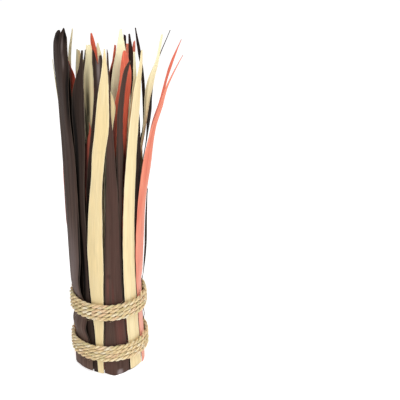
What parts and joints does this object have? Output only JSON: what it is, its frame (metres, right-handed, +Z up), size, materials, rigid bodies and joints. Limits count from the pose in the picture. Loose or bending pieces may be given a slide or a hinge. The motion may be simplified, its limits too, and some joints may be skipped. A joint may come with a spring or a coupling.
{
  "type": "bundle of dried leaves",
  "caption": "Upright bundle of thin dried leaf strips in cream, brown and red, cut flush at the foot, fanning at the top, held by two wound rope ties; stands as decoration.",
  "frame": {"origin": "centre of the foot, in the plane of the cut ends that the bundle stands on", "axes": "+Z up along the bundle, -Y towards the front where the widest brown and cream strips show, +X to the right where two red strips lean out"},
  "size_m": [0.1189, 0.0822, 0.357],
  "materials": {
    "brown_leaf": "grey-brown dried leaf, satin, fine lengthwise fibres",
    "dark_leaf": "black-brown dried leaf, satin",
    "cream_leaf": "bleached cream dried leaf, matt, fine lengthwise fibres",
    "red_leaf": "dyed coral red dried leaf, satin",
    "rope": "twisted natural seagrass, matt and fibrous"
  },
  "bodies": {
    "root": {"brown_leaf_1": "brown_leaf", "brown_leaf_2": "brown_leaf", "brown_leaf_3": "brown_leaf", "brown_leaf_4": "brown_leaf", "brown_leaf_5": "brown_leaf", "brown_leaf_6": "brown_leaf", "brown_leaf_7": "brown_leaf", "brown_leaf_8": "brown_leaf", "brown_leaf_9": "brown_leaf", "brown_leaf_10": "brown_leaf", "brown_leaf_11": "brown_leaf", "brown_leaf_12": "brown_leaf", "brown_leaf_13": "brown_leaf", "brown_leaf_14": "brown_leaf", "core_leaf": "brown_leaf", "dark_leaf_1": "dark_leaf", "dark_leaf_2": "dark_leaf", "dark_leaf_3": "dark_leaf", "dark_leaf_4": "dark_leaf", "dark_leaf_5": "dark_leaf", "dark_leaf_6": "dark_leaf", "dark_leaf_7": "dark_leaf", "dark_leaf_8": "dark_leaf", "dark_leaf_9": "dark_leaf", "cream_leaf_1": "cream_leaf", "cream_leaf_2": "cream_leaf", "cream_leaf_3": "cream_leaf", "cream_leaf_4": "cream_leaf", "cream_leaf_5": "cream_leaf", "cream_leaf_6": "cream_leaf", "cream_leaf_7": "cream_leaf", "cream_leaf_8": "cream_leaf", "cream_leaf_9": "cream_leaf", "cream_leaf_10": "cream_leaf", "cream_leaf_11": "cream_leaf", "cream_leaf_12": "cream_leaf", "cream_leaf_13": "cream_leaf", "cream_leaf_14": "cream_leaf", "cream_leaf_15": "cream_leaf", "cream_leaf_16": "cream_leaf", "cream_leaf_17": "cream_leaf", "cream_leaf_18": "cream_leaf", "cream_leaf_19": "cream_leaf", "red_leaf_1": "red_leaf", "red_leaf_2": "red_leaf", "red_leaf_3": "red_leaf", "red_leaf_4": "red_leaf", "red_leaf_5": "red_leaf", "red_leaf_6": "red_leaf", "red_leaf_7": "red_leaf", "red_leaf_8": "red_leaf", "red_leaf_9": "red_leaf", "red_leaf_10": "red_leaf", "red_leaf_11": "red_leaf", "red_leaf_12": "red_leaf", "red_leaf_13": "red_leaf", "red_leaf_14": "red_leaf", "red_leaf_15": "red_leaf", "lower_tie": "rope", "upper_tie": "rope"}
  },
  "joints": []
}
